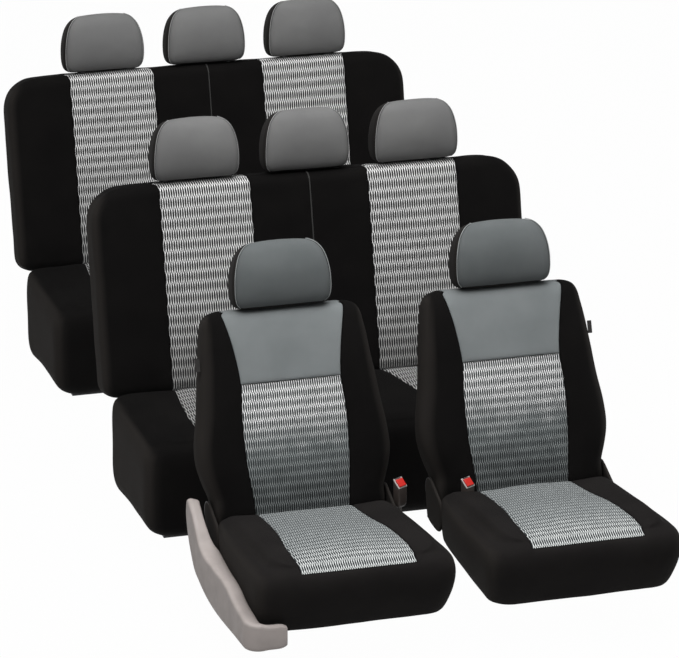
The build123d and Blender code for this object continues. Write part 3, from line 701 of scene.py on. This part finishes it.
# ---- cushions
def cushion_skin(profile, front_y, rear_y, front_half, rear_half, rear_corner, hem, top, seams,
                 counts, crown, tag, cap_tag):
    """A cushion: rings from the hem up to its top edge, and a crowned top grid.

    profile rows are (share of the height, front in, sides in, corner); top(y) is the height
    of the top plane; seams(t, left, right) are the breaks across at t from front to rear;
    crown(x, y) lifts the top; tag(ring, column) and cap_tag(column) name the panels.
    """
    skin = Skin()
    loops, arc, v, last = [], [], 0.0, None
    for share, ahead, sides, corner in profile:
        front, rear = front_y + ahead, rear_y - min(0.3 * sides, 0.012)
        front_edge = front_half - sides - corner
        rear_edge = rear_half - 0.4 * sides - rear_corner
        xs = columns(seams(0.0, -front_edge, front_edge), counts)
        rear_xs = columns(seams(1.0, -rear_edge, rear_edge), counts)
        loop = ring(xs, rear_xs, front, rear, corner, rear_corner)
        loops.append([(x, y, hem + share * (top(y) - hem)) for x, y in loop])
        centre = Vector(loops[-1][len(xs) // 2])
        v += (centre - last).length if last else 0.0
        last = centre
        arc.append(v)
    across = len(xs)
    stack_up(skin, loops, arc, tag)
    net = coons(*edges_of(loops[-1], across))
    depth = rear - front
    for t, row in enumerate(net):
        if 0 < t < len(net) - 1:
            share = (row[:, 1].mean() - front) / depth
            row[:, 0] = columns(seams(share, row[0, 0], row[-1, 0]), counts)
    for row in net[1:-1]:
        for p in row[1:-1]:
            p[2] += crown(p[0], p[1])
    uvs = [[(p[0], arc[-1] + p[1] - front) for p in row] for row in net]
    skin.grid(net, uvs, lambda j, i: cap_tag(i))
    base = coons(*edges_of(loops[0], across))[:, ::-1]
    skin.grid(base, [[(p[0], p[1]) for p in row] for row in base], lambda j, i: "under")
    return skin


HEM = 0.125  # height of the front cushions' hem
FRONT_INSERT_RING, BENCH_INSERT_RING = 10, 11  # the inserts turn down to this ring
FRONT_PROFILE = [  # share of the height, front in, sides in, corner radius
    (0.04, 0.085, 0.052, 0.040), (0.0, 0.060, 0.030, 0.052), (0.015, 0.050, 0.022, 0.054),
    (0.10, 0.040, 0.016, 0.056), (0.25, 0.026, 0.010, 0.058), (0.42, 0.012, 0.004, 0.060),
    (0.58, 0.003, 0.0, 0.062), (0.72, 0.0, 0.0, 0.062), (0.82, 0.003, 0.003, 0.062),
    (0.89, 0.008, 0.008, 0.061), (0.94, 0.015, 0.015, 0.060), (0.98, 0.026, 0.026, 0.058),
    (1.0, 0.040, 0.040, 0.056)]


def front_cushion(side):
    """The cushion of one front seat: black cover with sides lighter by painted side light, and its
    mesh insert.
    """
    name = f"front_{side}_cushion"
    recline = joints[f"front_{side}_recline"]["pos_m"]
    origin = Vector((recline[0], recline[1] - 0.044, 0.0))
    front_y, rear_y, top_front, top_rear = -0.556, -0.020, 0.306, 0.249

    def top(y):
        return top_front + (top_rear - top_front) * (y - front_y) / (rear_y - front_y)

    def seams(t, left, right):
        seam = curve(t, [-0.1, 0.0, 0.15, 0.35, 0.6, 0.85, 1.0],
                     [0.151, 0.151, 0.152, 0.146, 0.134, 0.128, 0.128])
        seam = min(seam, right - NEAREST_SEAM)
        return [left, -seam, seam, right]

    def crown(x, y):
        t = (y - front_y) / (rear_y - front_y)
        seam = seams(t, -1, 1)[2]
        along = min(1.0, t / 0.16) * min(1.0, (1 - t) / 0.10)
        side_puff = 0.013 * hump(abs(x), seam - 0.015, 0.275)
        middle = 0.007 * max(0.0, 1 - (x / seam) ** 2)
        arch = 0.015 * hump(t, -0.12, 0.98) * max(0.0, 1 - (x / 0.27) ** 4)
        return along * (0.003 + side_puff + middle) + arch

    middle = range(*seam_columns(FRONT_COUNTS)[1:3])

    def tag(j, i):
        return "insert" if i in middle and j >= FRONT_INSERT_RING else "cover"

    skin = cushion_skin(
        FRONT_PROFILE, front_y, rear_y, 0.265, 0.242, 0.030, HEM, top, seams, FRONT_COUNTS, crown,
        tag, lambda i: "insert" if i in middle else "cover")
    made = skin.pieces(lambda p: origin + p, rumple=0.0026, seed=1.0 if side == "left" else 5.0)
    body = f"front_{side}_seat"
    # the cover takes the lighter copy of the black cloth, painted light; its underside keeps the
    # black
    dress(made["cover"], name + "_cover_cloth", body, "black_cloth", LIT_SEAT_BLACK,
          name + "_cover", name + "_foam")
    dress(made["under"], name + "_underside", body, "black_cloth", BLACK, name + "_cover")
    dress(made["insert"], name + "_mesh", body, "mesh_cloth", SEAT_MESH, name + "_insert")


FLAP_OUT = 0.242  # from the middle of the seat to the middle of a flap
FLAP_RINGS = [  # share of the outline's size, how far outward
    (0.84, -0.0052), (0.96, -0.0046), (1.0, -0.0004), (0.96, 0.0034), (0.84, 0.0048)]


def side_flap(side, hand):
    """The cushion cover's rear wing, which wraps the bracket at one side of the hinge."""
    name = f"front_{side}_cushion_{'left' if hand < 0 else 'right'}_flap"
    hinge = Vector(joints[f"front_{side}_recline"]["pos_m"])
    round_r, middle_y, middle_z = 0.038, -0.050, -0.040
    outline = [(-0.110, -0.090), (-0.110, -0.002), (-0.080, 0.008), (-0.045, 0.022)]
    outline += [(round_r * math.sin(a), round_r * math.cos(a))
                for a in np.radians([-30, 5, 40, 75])]
    outline += [(0.030, -0.020), (0.022, -0.055), (0.018, -0.078), (0.006, -0.087),
                (-0.050, -0.091)]
    points = []
    for share, out in FLAP_RINGS:
        for y, z in outline:
            points.append((hinge.x + hand * (FLAP_OUT + out),
                           hinge.y + middle_y + share * (y - middle_y),
                           hinge.z + middle_z + share * (z - middle_z)))
    faces = tube_faces(0, len(FLAP_RINGS), len(outline))
    obj = meshed(name, points, faces if hand > 0 else [face[::-1] for face in faces], True)
    # the whole flap faces sideways, so it takes 0.9 of the painted side light
    sideways = obj.data.attributes.new(PAINTED_SIDE_LIGHT, "FLOAT", "POINT")
    for share in sideways.data:
        share.value = 0.9
    soft = obj.modifiers.new("soft", "SUBSURF")
    soft.levels = soft.render_levels = 2
    dress(obj, name, f"front_{side}_seat", "black_cloth", BLACK)


# ---- bench rows
BENCH_SEAMS = (0.172, 0.436)  # the inserts' inner and outer edges
BENCH_SWELL = 0.007
BENCH_COUNTS = [9, 13, 8, 8, 13, 9]
BENCH_COLUMNS = seam_columns(BENCH_COUNTS)


def bench_panel(i):
    """The panel that a column of a bench is on."""
    if BENCH_COLUMNS[1] <= i < BENCH_COLUMNS[2]:
        return "insert_left"
    return "insert_right" if BENCH_COLUMNS[4] <= i < BENCH_COLUMNS[5] else "cover"


def bench_swell(x, seams):
    """How far a bench's panel stands out between its seams, at x across it."""
    for a, b in zip(seams, seams[1:]):
        if a < abs(x) < b:
            return BENCH_SWELL * math.sin(math.pi * (abs(x) - a) / (b - a)) ** 0.7
    return 0.0


def dress_bench(made, name, body):
    """Dresses the cover, underside and mesh inserts of a bench's back or cushion."""
    dress(made["cover"], name + "_cover_cloth", body, "black_cloth", BLACK,
          name + "_cover", name + "_foam")
    if "under" in made:
        dress(made["under"], name + "_underside", body, "black_cloth", BLACK, name + "_cover")
    for side in ("left", "right"):
        dress(made["insert_" + side], f"{name}_{side}_mesh", body, "mesh_cloth", BENCH_MESH,
              name + "_inserts")


def bench_back(row):
    """The back of a bench: black cover, mesh inserts, middle seam and three headrests."""
    name = f"{row}_row_back"
    place = leaning(joints[name + "_fold"]["pos_m"],
                    joints[f"{row}_row_middle_headrest_height"]["axis"])
    low_box, high_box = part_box(name + "_cover")
    half_w, height, hinge_up, half_t = (high_box.x - low_box.x) / 2, 0.592, 0.1185, 0.065
    top_r, low_r, edge_r = 0.100, 0.042, 0.030  # of the corners, and of the edges all round
    from_low = [0.0, 0.002, 0.006, 0.012, 0.020, 0.030, 0.042]
    middle = list(np.linspace(0.06, height - 0.12, 22))
    from_top = [0.100, 0.082, 0.065, 0.050, 0.038, 0.028, 0.019, 0.012, 0.006, 0.002, 0.0]
    rows = []
    for z in from_low + middle + [height - d for d in from_top]:
        near, r = (z, low_r) if z < height / 2 else (height - z, top_r)
        half = half_w - (r - math.sqrt(r * r - max(r - near, 0) ** 2))
        pull = edge_r - math.sqrt(edge_r ** 2 - max(edge_r - near, 0) ** 2)
        rows.append((z - hinge_up, half, -half_t + pull, half_t - 0.7 * pull,
                     max(0.006, 0.034 - pull)))
    inner, outer = BENCH_SEAMS

    def seams(u, edge):
        return [-edge, -outer, -inner, 0.0, inner, outer, edge]

    def puff(x, y, u, half, front, rear):
        face = max(0.0, 1 - (y - front) / FACE_DEPTH)
        along = min(1.0, (u + hinge_up) / 0.08) * min(1.0, (height - hinge_up - u) / 0.10)
        swell = bench_swell(x, [0.0, inner, outer, half_w + 0.03])
        return -face * max(0.0, along) * (0.002 + swell)

    skin, loops = upright_pad(
        rows, seams, BENCH_COUNTS, puff, lambda j, i: bench_panel(i),
        lambda top, t, i: bench_panel(i) if top and t < 0.5 else "cover")
    made = skin.pieces(place, rumple=0.0022, seed=2.0 if row == "second" else 7.0)
    dress_bench(made, name, name)
    path = [Vector(loop[BENCH_COLUMNS[3]]) + Vector((0, -0.0012, 0)) for loop in loops[4:]]
    line = tube("zip", path, ZIP_R, place)
    dress(line, name + "_zip", name, "black_cloth", ZIP, fill=None)
    for side in ("left", "middle", "right"):
        prefix = f"{row}_row_{side}_headrest"
        low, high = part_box(prefix + "_cover")
        headrest(prefix, place, height - hinge_up + 0.007, (low.x + high.x) / 2, BENCH_GREY,
                 HIGHLIT_BENCH_PIPING, "bench_grey_cloth")


BENCH_PROFILE = [  # as FRONT_PROFILE
    (0.06, 0.070, 0.060, 0.040), (0.0, 0.048, 0.040, 0.050), (0.02, 0.034, 0.028, 0.054),
    (0.07, 0.016, 0.014, 0.058), (0.14, 0.005, 0.005, 0.060), (0.25, 0.0, 0.0, 0.060),
    (0.42, 0.0, 0.0, 0.060), (0.58, 0.0, 0.0, 0.060), (0.72, 0.0, 0.0, 0.060),
    (0.82, 0.002, 0.002, 0.060), (0.90, 0.007, 0.007, 0.059), (0.95, 0.014, 0.014, 0.058),
    (0.985, 0.026, 0.026, 0.056), (1.0, 0.040, 0.040, 0.054)]


def bench_cushion(row):
    """The cushion of a bench: black cover, two mesh inserts and the cloth under it."""
    name = f"{row}_row_cushion"
    low_box, high_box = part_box(name + "_cover")
    origin = Vector((0, high_box.y + 0.004, 0))
    half, front_y, rear_y = (high_box.x - low_box.x) / 2, low_box.y - origin.y, -0.004
    inner, outer = BENCH_SEAMS

    def seams(t, left, right):
        places = [0.0, 0.1, 0.4, 0.7, 1.0]
        a = inner + curve(t, places, [0.040, 0.046, 0.052, 0.030, 0.0])
        b = outer + curve(t, places, [0.0, 0.008, 0.018, 0.012, 0.0])
        return [left, -b, -a, 0.0, a, b, right]

    def crown(x, y):
        t = (y - front_y) / (rear_y - front_y)
        along = min(1.0, t / 0.16) * min(1.0, (1 - t) / 0.10)
        return along * (0.004 + bench_swell(x, seams(t, -half, half)[3:]))

    skin = cushion_skin(
        BENCH_PROFILE, front_y, rear_y, half, half, 0.034, low_box.z, lambda y: high_box.z, seams,
        BENCH_COUNTS, crown, lambda j, i: bench_panel(i) if j >= BENCH_INSERT_RING else "cover",
        bench_panel)
    made = skin.pieces(lambda p: origin + p, rumple=0.0030, seed=4.0 if row == "second" else 9.0)
    dress_bench(made, name, "root")


# ---- shield
SHIELD_LOWER = (  # places behind the hinge, heights of the lower edge
    [-0.60, -0.56, -0.50, -0.10, -0.06, -0.024, 0.0, 0.012, 0.018],
    [0.104, 0.101, 0.096, 0.0945, 0.106, 0.140, 0.172, 0.200, 0.228])
SHIELD_UPPER = (  # the same for the upper edge
    [-0.60, -0.56, -0.430, -0.415, -0.24, -0.13, -0.105, -0.07, -0.04, -0.02, 0.0, 0.012, 0.018],
    [0.164, 0.172, 0.184, 0.188, 0.188, 0.189, 0.198, 0.229, 0.253, 0.265, 0.275, 0.279, 0.272])
SHIELD_SHELF = (  # steps from the end of the straight side, depths of the top
    [-60, -38, -28, -16, 0, 4, 9, 16], [0.029, 0.031, 0.048, 0.038, 0.036, 0.037, 0.025, 0.019])


def side_shield():
    """Trim beside the left front seat: a band, an arm over the recliner, a turned front."""
    low_box, high_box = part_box("front_left_side_shield")
    hinge_y = joints["front_left_recline"]["pos_m"][1]
    outer, front_y, rear_y, turn_r = low_box.x, low_box.y, high_box.y, 0.040
    straight_end = front_y + turn_r
    ys = np.concatenate([np.linspace(rear_y, hinge_y - 0.13, 26),
                         np.linspace(hinge_y - 0.14, straight_end, 28)])
    plan = [(outer, y, y - hinge_y) for y in ys]
    for a in np.radians(np.linspace(10, 90, 9)):
        plan.append((outer + turn_r * (1 - math.cos(a)), straight_end - turn_r * math.sin(a),
                     straight_end - hinge_y - 0.012 * a))
    plan += [(outer + turn_r + d, front_y, front_y - hinge_y)
             for d in (0.012, 0.024, 0.036, 0.048, 0.058, 0.063)]
    skin = Skin()
    rows = []
    for k, (x, y, local) in enumerate(plan):
        before, after = plan[max(k - 1, 0)], plan[min(k + 1, len(plan) - 1)]
        along = Vector((after[0] - before[0], after[1] - before[1], 0)).normalized()
        inward = Vector((-along.y, along.x, 0))
        narrowed = 0.004 * max(k - len(plan) + 3, 0)
        z0, z1 = curve(local, *SHIELD_LOWER) + narrowed, curve(local, *SHIELD_UPPER) - narrowed
        shelf = curve(k - len(ys), *SHIELD_SHELF)
        section = [(0.018, z0), (0.006, z0), (0.0018, z0 + 0.0018), (0, z0 + 0.006)]
        section += [(-0.0012 * math.sin(math.pi * t), z0 + 0.006 + (z1 - z0 - 0.014) * t)
                    for t in np.linspace(0.1, 0.9, 7)]
        section += [(0, z1 - 0.005), (0.0009, z1 - 0.0017), (0.0034, z1), (0.010, z1 + 0.0006)]
        section += [(shelf * t, z1 - 0.006 * t * t) for t in (0.5, 0.75, 1.0)]
        section += [(shelf + 0.001, z1 - 0.012)]
        rows.append([tuple(Vector((x, y, z)) + inward * d) for d, z in section])
    skin.grid(rows, [[(p[1], p[2]) for p in row] for row in rows], lambda j, i: "shield")
    obj = skin.pieces(lambda p: p, thickness=0.0028)["shield"]
    dress(obj, "front_left_side_shield_moulding", "front_left_seat", "shield_plastic", SHIELD,
          "front_left_side_shield", fill=None)
    at = Vector((outer - 0.0008, hinge_y - 0.535, 0.140))
    cap = slab("front_left_screw_cap", at, (0.003, 0.013, 0.013), 0.0014)
    dress(cap, "front_left_screw_cap", "front_left_seat", "shield_plastic", SHIELD, fill=None)


# ---- small parts
SMALL_FACE = 0.00002  # square metres; a block's bevels are below it, and are shaded smooth


def slab(name, centre, size, bevel, tilt=0.0, offset=(0, 0, 0)):
    """A block with rounded edges, moved by offset in its own axes, then tilted about X."""
    def move(p):
        return Vector((p.x * size[0], p.y * size[1], p.z * size[2])) + Vector(offset)
    obj = soft_box(name, move, bevel, 3, 0.5)
    c, s = math.cos(tilt), math.sin(tilt)
    for v in obj.data.vertices:
        v.co = centre + Vector((v.co.x, v.co.y * c - v.co.z * s, v.co.y * s + v.co.z * c))
    for polygon in obj.data.polygons:
        polygon.use_smooth = len(polygon.vertices) != 4 or polygon.area < SMALL_FACE
    return obj


BUCKLE_RAKE = 1.0  # how steeply the end with the button slopes
BUCKLE_TURN = 0.52  # how far it is turned about its stalk, in radians
RAKED = 0.046  # length of housing over which the slope sets in
SQUARE = 0.35  # power that squares an oval section; 1 leaves it an oval


def buckle(side):
    """A belt buckle: stalk, housing with a raked end, pale rim, red button, tongue slot."""
    node = f"front_{side}_buckle"
    low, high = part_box(node)
    middle = (low + high) / 2
    wide, deep = 0.92 * (high.x - low.x), 0.98 * (high.y - low.y)
    foot = high.z - 0.076
    stations = [(low.z, 0.30, 0.20), (foot - 0.006, 0.34, 0.24), (foot, 0.78, 0.72),
                (foot + 0.004, 0.92, 0.90), (foot + 0.012, 0.98, 0.98), (foot + 0.03, 1.0, 1.0),
                (high.z - 0.004, 1.0, 1.0), (high.z, 0.94, 0.90)]
    points, sides = [], 24
    for z, w, d in stations:
        for k in range(sides):
            a = 2 * math.pi * (k + 0.5) / sides
            x = math.copysign(abs(math.cos(a)) ** SQUARE, math.cos(a)) * w * wide / 2
            y = math.copysign(abs(math.sin(a)) ** SQUARE, math.sin(a)) * d * deep / 2
            near_top = max(0.0, 1 + (z - high.z) / RAKED)
            points.append((middle.x + x, middle.y + y, z - near_top * BUCKLE_RAKE * (deep / 2 - y)))
    housing = meshed(node + "_housing", points, tube_faces(0, len(stations), sides))
    tilt = math.atan(BUCKLE_RAKE)
    length = deep / math.cos(tilt)
    face = Vector((middle.x, middle.y, high.z - deep * BUCKLE_RAKE / 2))
    rim = slab("rim", face, (wide * 0.96, length * 0.92, 0.0024), 0.0009, tilt, (0, 0, 0.0004))
    slot = slab("slot", face, (wide * 0.66, 0.0030, 0.0030), 0.0006, tilt,
                (0, length * 0.40, 0.0006))
    button = slab("button", face, (wide * 0.76, length * 0.68, 0.0078), 0.0018, tilt,
                  (0, -length * 0.02, 0.0020))
    turn = Matrix.Rotation(BUCKLE_TURN, 4, "Z")
    turn = Matrix.Translation(middle) @ turn @ Matrix.Translation(-middle)
    for piece in (housing, rim, slot, button):
        piece.data.transform(turn)
    dress(housing, node + "_housing", node, "buckle_plastic", HOUSING, node, fill=None)
    dress(rim, node + "_rim", node, "buckle_plastic", RIM, fill=None)
    dress(slot, node + "_tongue_slot", node, "buckle_plastic", HOUSING, fill=None)
    dress(button, node + "_button_cap", f"front_{side}_button", "button_plastic", RED,
          node + "_button", fill=None)


def tag_loop(name, body, place, x, out):
    """A blank folded fabric tag sewn into the side seam of a back."""
    reach, thick, tall, ahead, up = 0.012 * out, 0.0022, 0.034, 0.034, 0.392

    def move(p):
        return place(Vector((x + reach * (p.x + 0.3), thick * p.y - ahead, up + tall * p.z)))
    dress(soft_box(name, move, 0.0006, 2, 0.0), name, body, "black_cloth", TAG, fill=None)


for side, tag_x, out in (("left", -0.239, -1), ("right", 0.231, 1)):
    seat = f"front_{side}"
    at_back = leaning(joints[seat + "_recline"]["pos_m"], joints[seat + "_headrest_height"]["axis"])
    front_back(side, at_back)
    front_cushion(side)
    # the front headrests' panels take the darker copy of the front grey: painted shade
    headrest(seat + "_headrest", at_back, HEADREST_UP, 0.0, SHADED_HEAD_GREY, HIGHLIT_PIPING, "front_grey_cloth")
    tag_loop(seat + "_tag", seat + "_back", at_back, tag_x, out)
    polish(seat, "_seat_frame", "_stand", "_back_frame")
    buckle(side)
    side_flap(side, -1)
    side_flap(side, 1)
for row in ("second", "third"):
    bench_back(row)
    bench_cushion(row)
    polish(row, "_row_base", "_row_hinge_brackets", "_row_back_frame")
side_shield()


# ---- floor, light, camera
FLOOR_HALF = 60.0
FLOOR_GLOW = 0.985  # how nearly white the floor shows to the camera
WORLD_LIGHT = 0.16  # what the white surroundings give to the seats
LAMPS = (("key", (-2.8, -3.6, 6.4), 3.0, 300), ("fill", (4.5, -4.0, 3.2), 3.0, 25),
         ("top", (0.4, -1.4, 5.6), 4.0, 260))  # name, place, width, power
LAMP_AIM = Vector((0, -0.2, 0.5))
CAMERA_AT = (-2.920, -10.269, 4.229)
CAMERA_YAW, CAMERA_PITCH = math.radians(16.12), math.radians(-19.65)
CAMERA_LENS = 212.6


def aim(obj, place, toward):
    """Puts a lamp or the camera in its place, facing a direction."""
    obj.location = place
    obj.rotation_mode = "QUATERNION"
    obj.rotation_quaternion = toward.to_track_quat("-Z", "Y")


def studio():
    """A floor and surroundings that show white, and three soft lamps."""
    corners = [(-1, -1), (1, -1), (1, 1), (-1, 1)]
    floor = meshed("floor", [(x * FLOOR_HALF, y * FLOOR_HALF, 0) for x, y in corners],
                   [(0, 1, 2, 3)])
    g = Graph(bpy.data.materials.new("floor"))
    path = g.add("ShaderNodeLightPath").outputs
    seen = g.math("MAXIMUM", path["Is Camera Ray"],
                  g.math("MAXIMUM", path["Is Glossy Ray"], path["Is Transmission Ray"]))
    floor.data.materials.append(g.finish((0.35, 0.35, 0.35, 1), Roughness=0.9))
    glow = g.add("ShaderNodeEmission", {"Color": (1, 1, 1, 1), "Strength": 1.0}).outputs[0]
    lit = g.tree.nodes["Principled BSDF"].outputs[0]
    shown = g.add("ShaderNodeMixShader", {0: g.math("MULTIPLY", seen, FLOOR_GLOW), 1: lit, 2: glow})
    g.put(shown.outputs[0], g.tree.nodes["Material Output"].inputs[0])
    world = bpy.data.worlds.new("studio")
    bpy.context.scene.world = world
    g = Graph(world)
    ray = g.add("ShaderNodeLightPath").outputs["Is Camera Ray"]
    back = g.tree.nodes["Background"].inputs
    g.put((1, 1, 1, 1), back[0])
    g.put(g.span(ray, 0.0, 1.0, WORLD_LIGHT, 1.0), back[1])
    for name, place, width, power in LAMPS:
        data = bpy.data.lights.new(name, "AREA")
        data.size, data.energy = width, power
        aim(linked(name, data), place, LAMP_AIM - Vector(place))


def camera():
    """A long lens above the seats, ahead of them and towards negative X."""
    data = bpy.data.cameras.new("camera")
    data.sensor_width, data.lens = 36.0, CAMERA_LENS
    data.clip_start, data.clip_end = 0.5, 200
    view = linked("camera", data)
    level = math.cos(CAMERA_PITCH)
    aim(view, CAMERA_AT, Vector((math.sin(CAMERA_YAW) * level, math.cos(CAMERA_YAW) * level,
                                 math.sin(CAMERA_PITCH))))
    bpy.context.scene.camera = view


studio()
camera()
bpy.context.scene.view_settings.view_transform = "Standard"
